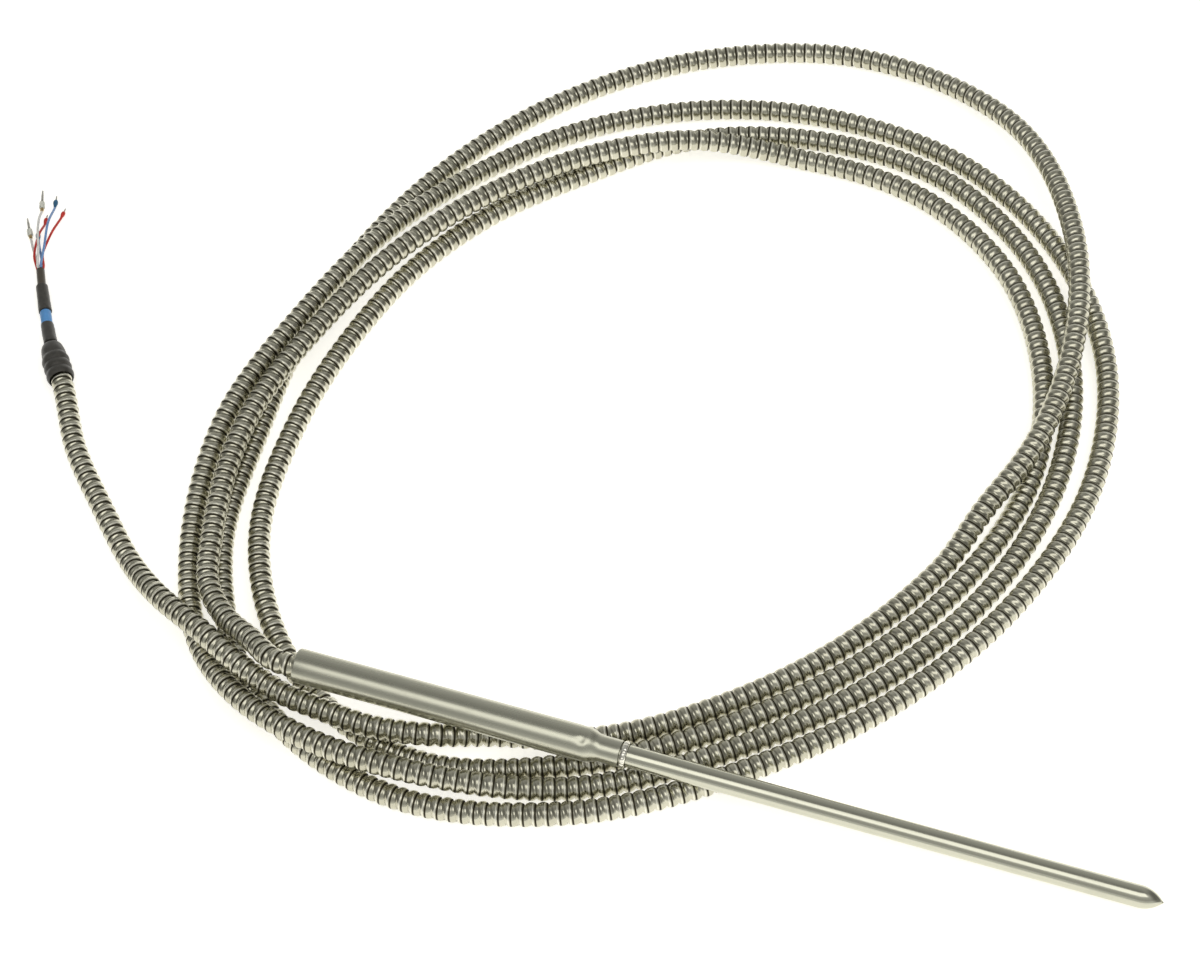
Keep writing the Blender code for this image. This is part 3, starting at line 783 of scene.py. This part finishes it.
boot = {
    "length": 15.6 * mm,
    "ridges": 3,
    "ridgePitch": 3.3 * mm,
    "ridgeHeight": 0.45 * mm,
    "ridgeRings": 14,
    "valley": 4.05 * mm,
    "topRadius": 2.5 * mm,
    "topRings": 20,
    "unevenness": 0.10 * mm,
    "sides": 72,
}
cable = {
    "stations": ((-264.8, 111.9, 3.3), (-268.1, 117.1, 2.9), (-274.7, 127.7, 2.5), (-278.7, 134.6, 2.1)),
    "jacketRadius": 1.4 * mm,
    "jacketSides": 32,
    "jacketSteps": 5,
    "boreRadius": 1.6 * mm,
    "sides": 40,
    "rings": 14,
    "rounding": 0.28 * mm,
    "wrinkle": 0.09 * mm,
}
cablePieces = (  # name, node, radius at foot and top, gap before it, finish, slot
    ("lowerSleeve", "lower_shrink_sleeve", 2.25 * mm, 2.15 * mm, 1.1 * mm, "rubber", "black_rubber"),
    ("blueBand", "blue_band", 1.9 * mm, 1.87 * mm, 0.3 * mm, "blueBand", "blue_shrink"),
    ("upperSleeve", "upper_shrink_sleeve", 2.2 * mm, 2.0 * mm, 0.3 * mm, "rubber", "black_rubber"),
)
bootTop = bootFoot + bootDirection * boot["length"]
cableStations = [Vector(point) * mm for point in cable["stations"]]


def shrinkWrinkle(seed, amount, scale):
    def wrinkle(radius, angle, along):
        if radius < cable["boreRadius"] * 1.15:
            return radius, angle, along
        return radius + amount * roundNoise(angle, scale, along / mm * 0.35 + seed), angle, along
    return wrinkle


def makeBoot():
    ridgeEnd = boot["ridges"] * boot["ridgePitch"]
    rise = boot["length"] - ridgeEnd
    drop = boot["valley"] - boot["topRadius"]
    profile = []
    for index in range(boot["topRings"], 0, -1):
        turn = math.radians(90 * index / boot["topRings"])
        profile.append((boot["topRadius"] + drop * math.cos(turn), ridgeEnd + rise * math.sin(turn)))
    for index in range(boot["ridges"] * boot["ridgeRings"], -1, -1):
        share = index / boot["ridgeRings"]
        radius = boot["valley"] + boot["ridgeHeight"] * abs(math.sin(math.pi * share))
        profile.append((radius, boot["ridgePitch"] * share))
    hoseBore = hose["diameter"] / 2 + probe["gap"]
    cableBore = cable["jacketRadius"] + probe["gap"]
    stepUp = hoseRoute["bootDepth"] * mm + probe["gap"]
    profile += [(hoseBore, 0), (hoseBore, stepUp), (cableBore, stepUp), (cableBore, boot["length"])]

    def uneven(radius, angle, along):
        # the outside only, so that both bores stay round
        if radius > hoseBore + 0.05 * mm or along > ridgeEnd and radius > cableBore + 0.3 * mm:
            radius += boot["unevenness"] * roundNoise(angle, 1.5, along / mm * 0.5)
        return radius, angle, along

    bootPlace = alongAxis(bootFoot, bootDirection)
    mesh = lathe("hoseBoot", profile, boot["sides"], bootPlace, closed=True, shape=uneven)
    rubber = [finishes["rubber"]]
    return finishPiece(mesh, "hoseBoot", rubber, "hose_end_boot", smoothAngle=50)


def makeCablePieces():
    stations = [bootTop, *cableStations]
    bore, rings, rounding = cable["boreRadius"], cable["rings"], cable["rounding"]
    made = []
    for index, (name, node, footRadius, topRadius, setback, finish, slot) in enumerate(cablePieces):
        span = stations[index + 1] - stations[index]
        length = span.length - setback
        start = stations[index] + span.normalized() * setback
        profile = arcPoints(topRadius - rounding, length - rounding, rounding, 90, 0, 5)
        for ringIndex in range(1, rings):
            share = ringIndex / rings
            radius = topRadius + (footRadius - topRadius) * share
            profile.append((radius, (length - rounding) * (1 - share) + rounding * share))
        profile += arcPoints(footRadius - rounding, rounding, rounding, 0, -90, 5)
        profile += [(bore, 0), (bore, length)]
        wrinkle = shrinkWrinkle(index * 7.3, cable["wrinkle"], 1.3)
        mesh = lathe(name, profile, cable["sides"], alongAxis(start, span), closed=True, shape=wrinkle)
        made.append(finishPiece(mesh, name, [finishes[finish]], node, smoothAngle=50))
    return made


def sweep(name, points, radius, sides):
    # a round solid along points, flat at both ends
    solid = bmesh.new()
    rings = []
    for index, point in enumerate(points):
        ahead = points[min(index + 1, len(points) - 1)] - points[max(index - 1, 0)]
        forward = ahead.normalized()
        aside = forward.cross(Vector((0, 0, 1))).normalized()
        upward = aside.cross(forward)
        ring = []
        for step in range(sides):
            angle = math.tau * step / sides
            spoke = aside * math.cos(angle) + upward * math.sin(angle)
            ring.append(solid.verts.new(point + spoke * radius))
        rings.append(ring)
    for first, second in zip(rings, rings[1:]):
        for step in range(sides):
            nextStep = (step + 1) % sides
            solid.faces.new((first[step], first[nextStep], second[nextStep], second[step]))
    solid.faces.new(rings[0])
    solid.faces.new(rings[-1])
    bmesh.ops.recalc_face_normals(solid, faces=solid.faces)
    mesh = bpy.data.meshes.new(name)
    solid.to_mesh(mesh)
    solid.free()
    return mesh


def finePoints(keys, count):
    # points read evenly from a smooth curve through the keys
    padded = [keys[0] * 2 - keys[1], *keys, keys[-1] * 2 - keys[-2]]
    spans = len(keys) - 1
    points = []
    for index in range(count):
        position = spans * index / (count - 1)
        span = min(int(position), spans - 1)
        t = position - span
        before, start, end, after = padded[span:span + 4]
        slopeIn, slopeOut = (end - before) / 2, (after - start) / 2
        cubic = start * 2 - end * 2 + slopeIn + slopeOut
        square = end * 3 - start * 3 - slopeIn * 2 - slopeOut
        points.append(((cubic * t + square) * t + slopeIn) * t + start)
    return points


def makeJacket():
    inside = bootFoot + bootDirection * (hoseRoute["bootDepth"] * mm + 2 * probe["gap"])
    keys = [inside, bootTop, *cableStations]
    steps = cable["jacketSteps"]
    points = []
    for a, b in zip(keys, keys[1:]):
        points += [a.lerp(b, step / steps) for step in range(steps)]
    points.append(keys[-1])
    mesh = sweep("cableJacket", points, cable["jacketRadius"], cable["jacketSides"])
    return finishPiece(mesh, "cableJacket", [finishes["jacket"]], "cable_jacket")


leads = {
    "order": ("red_2", "blue_1", "white_1", "red_1", "white_2", "blue_2"),
    "bundleRadius": 0.95 * mm,
    "spread": 1.3,
    "spreadLength": 2.4 * mm,
    "radius": 0.425 * mm,
    "routes": {  # in mm, past the jacket's end
        "red_1": ((-283.2, 139.4, 2.8), (-285.0, 144.6, 3.0), (-286.2, 149.8, 2.8), (-287.4, 155.0, 0.9)),
        "red_2": ((-281.2, 141.4, 2.0), (-281.9, 145.2, 2.2), (-282.6, 152.0, 2.2), (-283.2, 159.2, 0.9)),
        "blue_1": ((-280.4, 142.6, 5.0), (-284.0, 153.0, 5.0), (-287.4, 163.2, 1.0)),
        "blue_2": ((-281.8, 141.0, 0.9), (-284.2, 144.6, 0.9), (-286.0, 147.6, 1.0)),
        "white_1": ((-282.0, 141.4, 5.0), (-285.2, 147.8, 5.6), (-288.4, 154.6, 4.2), (-291.0, 160.4, 1.1)),
        "white_2": ((-284.4, 141.4, 1.0), (-287.0, 144.8, 1.1), (-289.0, 147.8, 1.1)),
    },
    "ends": {  # in mm: collar radius, collar length, pin radius, pin length
        "red": (0.72, 3.0, 0.28, 1.2),
        "blue": (0.85, 3.4, 0.28, 1.8),
        "white": (0.95, 4.6, 0.45, 5.0),
    },
    "collarFinish": {"blue": "blueEnd", "red": "red", "white": "clearCap"},
    "brassShare": 0.27,  # of a white collar, at its rear
    "points": 40,
    "cadPoints": 12,  # of the same lead in the frame, whose last span aims the collar and pin
    "sides": 16,
    "collarSides": 28,
    "pinSides": 20,
}
swage = {"rings": 12, "fullFrom": 0.62, "noseFrom": 0.72, "noseLength": 0.30}  # shares of the collar's length


def collarProfile(colour, radius, length):
    # rear end first: the wire's mouth, then the body, then the closed front
    lead = leads["radius"]
    if colour == "white":
        return [
            (0, 0), (lead * 1.25, 0), (lead * 1.45, length * 0.04),
            (lead * 1.45, length * 0.24), (lead * 1.35, length * 0.26),
            (radius * 0.93, length * 0.30), (radius, length * 0.34),
            (radius, length * 0.86), (radius * 0.93, length * 0.91),
            (radius * 0.62, length * 0.97), (radius * 0.55, length), (0, length),
        ]
    profile = [(0, 0)]
    for index in range(swage["rings"] + 1):
        share = index / swage["rings"]
        rise = math.pi * min(share / swage["fullFrom"], 1)
        swell = lead + (radius - lead) * (1 - math.cos(rise)) / 2
        if share > swage["noseFrom"]:
            fall = (share - swage["noseFrom"]) / swage["noseLength"]
            swell = radius * math.sqrt(max(0.0, 1 - fall ** 2))
        profile.append((swell, length * share))
    profile.append((0, length))
    return profile


def pinProfile(radius, length):
    tip = [(radius * 0.8, length * 0.62), (radius * 0.72, length * 0.94), (radius * 0.35, length)]
    return [(0, 0), (radius, 0), (radius, length * 0.55), *tip, (0, length)]


def makeLeads():
    jacketEnd, gap = cableStations[-1], probe["gap"]
    forward = (jacketEnd - cableStations[-2]).normalized()
    aside = forward.cross(Vector((0, 0, 1))).normalized()
    upward = aside.cross(forward)
    tinned = [finishes["tinned"]]
    made = []
    for index, wireName in enumerate(leads["order"]):
        colour, number = wireName.split("_")
        label = colour.capitalize() + number
        angle = math.tau * index / len(leads["order"])
        spread = aside * math.cos(angle) + upward * math.sin(angle)
        start = jacketEnd + forward * gap + spread * leads["bundleRadius"]
        away = jacketEnd + forward * leads["spreadLength"] + spread * leads["bundleRadius"] * leads["spread"]
        keys = [start, away] + [Vector(point) * mm for point in leads["routes"][wireName]]
        points = finePoints(keys, leads["points"])
        mesh = sweep("lead" + label, points, leads["radius"], leads["sides"])
        paint = [finishes[colour]]
        made.append(finishPiece(mesh, "lead" + label, paint, "lead_" + wireName, smoothAngle=50))

        coarse = finePoints(keys, leads["cadPoints"])
        direction = coarse[-1] - coarse[-2]
        direction.z = 0
        direction.normalize()
        collarRadius, collarLength, pinRadius, pinLength = (size * mm for size in leads["ends"][colour])
        end = points[-1]
        profile = collarProfile(colour, collarRadius, collarLength)
        collarPlace = alongAxis(end + direction * gap, direction)
        mesh = lathe("collar" + label, profile, leads["collarSides"], collarPlace)
        paint = [finishes[leads["collarFinish"][colour]]]
        if colour == "white":
            paint.append(finishes["brass"])
        collar = finishPiece(mesh, "collar" + label, paint, "collar_" + wireName, smoothAngle=50)
        if colour == "white":
            mouth = end + direction * (gap + collarLength * leads["brassShare"])
            for face in mesh.polygons:
                face.material_index = 1 if (face.center - mouth).dot(direction) < 0 else 0
        made.append(collar)

        pinPlace = alongAxis(end + direction * (collarLength + 2 * gap), direction)
        mesh = lathe("pin" + label, pinProfile(pinRadius, pinLength), leads["pinSides"], pinPlace)
        made.append(finishPiece(mesh, "pin" + label, tinned, "pin_" + wireName, smoothAngle=40))
    return made


withHose = [makeBoot(), *makeCablePieces(), makeJacket(), *makeLeads()]
print("boot, cable and leads made,", len(withHose), "pieces")

innerFinishes = (  # start of the node's name, finish
    ("rtd_element", "ceramic"), ("insulator_", "ceramic"), ("element_lead_", "platinum"),
    ("sheath_seal", "epoxy"), ("sleeve_potting", "epoxy"), ("splice_", "spliceCopper"),
    ("inner_wire_red", "red"), ("inner_wire_white", "white"), ("inner_wire_blue", "blue"),
)


def finishInnerPieces():
    for name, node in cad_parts.items():
        for start, finish in innerFinishes:
            if name.startswith(start):
                if not node.material_slots:
                    node.data.materials.append(finishes[finish])
                for holder in node.material_slots:
                    holder.material = finishes[finish]


finishInnerPieces()
print("inner pieces finished")

studio = {
    "floorDrop": 0.05 * mm,
    "floorHalf": 6.0,
    "floorColour": (0.90, 0.89, 0.86),
    "floorRoughness": 0.22,
    "floorGlow": (1.0, 0.985, 0.94),
    "floorLift": 0.66,
    "nearRoom": (  # on the viewer's side: height, and how bright the room is there
        (0.0, 0.62), (0.24, 0.72), (0.34, 0.52), (0.46, 0.40),
        (0.66, 0.46), (0.80, 0.55), (0.93, 0.55), (1.0, 0.45),
    ),
    "farRoom": (
        (0.0, 0.75), (0.12, 0.58), (0.40, 0.46), (0.70, 0.39), (0.86, 0.31), (0.94, 0.26), (1.0, 0.26),
    ),
    "dimSides": (0.5, 0.82),  # how far to the side the room starts to darken, and where it is darkest
    "sideGrey": (0.10, 0.098, 0.09),
    "sideShare": 0.75,
    "belowFloor": (0.9, 0.9, 0.89),
    "lampColour": (1.0, 0.985, 0.955),
    "lampAim": (-0.05, 0.08, 0),
}
lamps = (  # name, energy, size, distance to the side and towards the viewer, height, shows in metal
    ("softBox", 4.6, (1.7, 0.85), (0.0, 0.42), 1.47, True),
    ("fillLamp", 7.0, (1.6, 1.6), (0.95, 0.35), 1.2, False),
)


def makeFloor():
    half = studio["floorHalf"]
    sheet = bmesh.new()
    corners = []
    for x, y in ((-1, -1), (1, -1), (1, 1), (-1, 1)):
        corners.append(sheet.verts.new((x * half, y * half, -studio["floorDrop"])))
    sheet.faces.new(corners)
    mesh = bpy.data.meshes.new("studioFloor")
    sheet.to_mesh(mesh)
    sheet.free()
    floor = bpy.data.objects.new("studioFloor", mesh)
    bpy.context.scene.collection.objects.link(floor)
    paper = {"Base_Color": studio["floorColour"], "Roughness": studio["floorRoughness"]}
    material, tree, shader = newMaterial("floorPaper", Emission_Color=studio["floorGlow"], **paper)
    rays = tree.nodes.new("ShaderNodeLightPath").outputs
    bounced = maths(tree, "ADD", rays["Is Glossy Ray"], rays["Is Transmission Ray"])
    seen = maths(tree, "ADD", rays["Is Camera Ray"], bounced, clamp=True)
    tree.links.new(maths(tree, "MULTIPLY", seen, studio["floorLift"]), shader.inputs["Emission Strength"])
    mesh.materials.append(material)


def makeWorld():
    # a grey room, paler near the horizon and darker to both sides, which the camera sees as white
    world = bpy.data.worlds.new("softRoom")
    bpy.context.scene.world = world
    world.use_nodes = True
    tree = world.node_tree
    tree.nodes.clear()
    outward = tree.nodes.new("ShaderNodeTexCoord").outputs["Generated"]
    sky = addNode(tree, "ShaderNodeSeparateXYZ", {0: outward}).outputs
    height = sky[2]

    def across(operation, first, second):
        # how far along one level direction, from the parts along X and Y
        share = maths(tree, "MULTIPLY", first, toViewer.x)
        return maths(tree, operation, share, maths(tree, "MULTIPLY", second, toViewer.y))

    def ramp(stops):
        node = addNode(tree, "ShaderNodeValToRGB", {0: height})
        colours = node.color_ramp
        while len(colours.elements) < len(stops):
            colours.elements.new(0.5)
        for element, (position, level) in zip(colours.elements, stops):
            element.position = position
            element.color = (level, level, level * 0.97, 1)
        return node.outputs[0]

    nearShare = rangeOf(tree, across("ADD", sky[0], sky[1]), -0.06, 0.06, 0.0, 1.0, smooth=True)
    room = colourMix(tree, nearShare, ramp(studio["farRoom"]), ramp(studio["nearRoom"]))
    aside = maths(tree, "ABSOLUTE", across("SUBTRACT", sky[1], sky[0]))
    dim = rangeOf(tree, aside, *studio["dimSides"], 0.0, 1.0, smooth=True)
    room = colourMix(tree, maths(tree, "MULTIPLY", dim, studio["sideShare"]), room, studio["sideGrey"])
    below = rangeOf(tree, height, -0.02, 0.0, 1.0, 0.0)
    room = colourMix(tree, below, room, studio["belowFloor"])
    cameraRay = tree.nodes.new("ShaderNodeLightPath").outputs["Is Camera Ray"]
    light = addNode(tree, "ShaderNodeBackground", {0: room, 1: 1.0}).outputs[0]
    white = addNode(tree, "ShaderNodeBackground", {0: (1, 1, 1, 1), 1: 1.0}).outputs[0]
    blend = addNode(tree, "ShaderNodeMixShader", {0: cameraRay, 1: light, 2: white}).outputs[0]
    tree.links.new(blend, tree.nodes.new("ShaderNodeOutputWorld").inputs[0])


def makeLamps():
    for name, energy, size, (aside, near), height, inMetal in lamps:
        data = bpy.data.lights.new(name, "AREA")
        data.shape = "RECTANGLE"
        data.size, data.size_y = size
        data.energy = energy
        data.color = studio["lampColour"]
        lamp = bpy.data.objects.new(name, data)
        bpy.context.scene.collection.objects.link(lamp)
        lamp.visible_glossy = inMetal
        x = toViewer.x * near - toViewer.y * aside
        y = toViewer.y * near + toViewer.x * aside
        lamp.location = (x, y, height)
        aim = Vector(studio["lampAim"]) - lamp.location
        lamp.rotation_euler = aim.to_track_quat("-Z", "Y").to_euler()


makeFloor()
makeWorld()
makeLamps()
print("floor and light set")
